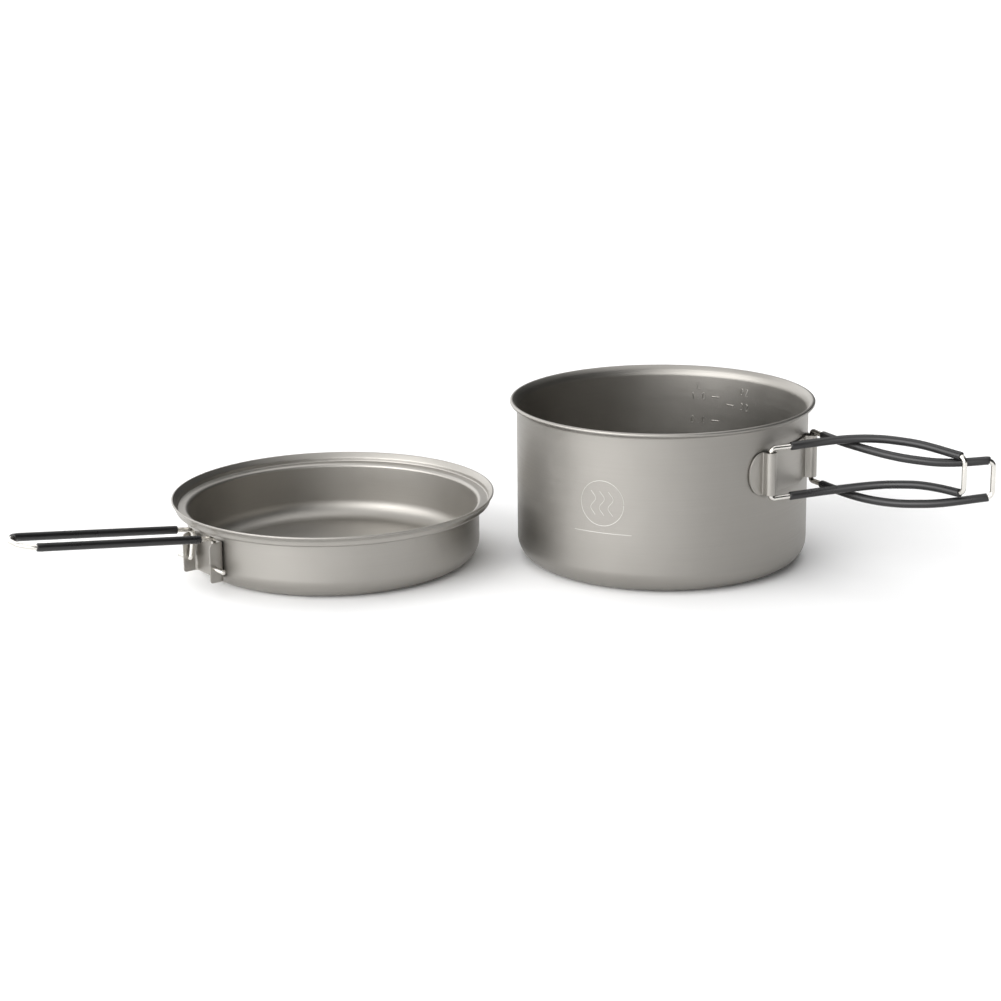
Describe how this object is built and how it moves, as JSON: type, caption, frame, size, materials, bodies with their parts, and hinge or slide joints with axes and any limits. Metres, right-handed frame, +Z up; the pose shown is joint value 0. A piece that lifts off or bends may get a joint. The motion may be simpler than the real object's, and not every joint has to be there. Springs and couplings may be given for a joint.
{
  "type": "camping cook set",
  "caption": "Camping cook set: a round pot with folding wire side handles, and a shallow frying pan with a folding wire handle that turns over to become the pot's lid.",
  "frame": {"origin": "centre of the pot's flat bottom", "axes": "+Z up; +X from the pan towards the pot; +Y away from the side that both handle brackets face"},
  "size_m": [0.4554, 0.1936, 0.08],
  "materials": {
    "vessel_sheet": "fine bead-blasted warm grey titanium sheet",
    "bracket_sheet": "fine satin warm grey titanium sheet",
    "bright_wire": "bright drawn wire",
    "silicone": "satin dark grey silicone tube"
  },
  "bodies": {
    "pot": {"pot_shell": "vessel_sheet", "pot_hinge_plate": "bracket_sheet"},
    "near_handle": {"near_handle_wire": "bright_wire", "near_handle_upper_sleeve": "silicone", "near_handle_lower_sleeve": "silicone"},
    "far_handle": {"far_handle_wire": "bright_wire", "far_handle_upper_sleeve": "silicone", "far_handle_lower_sleeve": "silicone"},
    "pan": {"pan_shell": "vessel_sheet", "pan_hinge_bracket": "bracket_sheet"},
    "pan_handle": {"pan_handle_wire": "bright_wire", "pan_handle_left_sleeve": "silicone", "pan_handle_right_sleeve": "silicone"}
  },
  "joints": [
    {"name": "near_handle_fold", "type": "hinge", "parent": "pot", "child": "near_handle", "pos_m": [0.04748, -0.05832, 0.056], "axis": [0, 0, -1], "range_deg": [0, 162]},
    {"name": "far_handle_fold", "type": "hinge", "parent": "pot", "child": "far_handle", "pos_m": [0.07086, -0.02516, 0.056], "axis": [0, 0, 1], "range_deg": [0, 139.5]},
    {"name": "pan_turn_over", "type": "hinge", "parent": "pot", "child": "pan", "pos_m": [-0.08175, 0, 0.05465], "axis": [0, 1, 0], "range_deg": [0, 180]},
    {"name": "pan_handle_fold", "type": "hinge", "parent": "pan", "child": "pan_handle", "pos_m": [-0.22449, -0.04765, 0.012], "axis": [0.6157, -0.788, 0], "range_deg": [0, 188]}
  ]
}
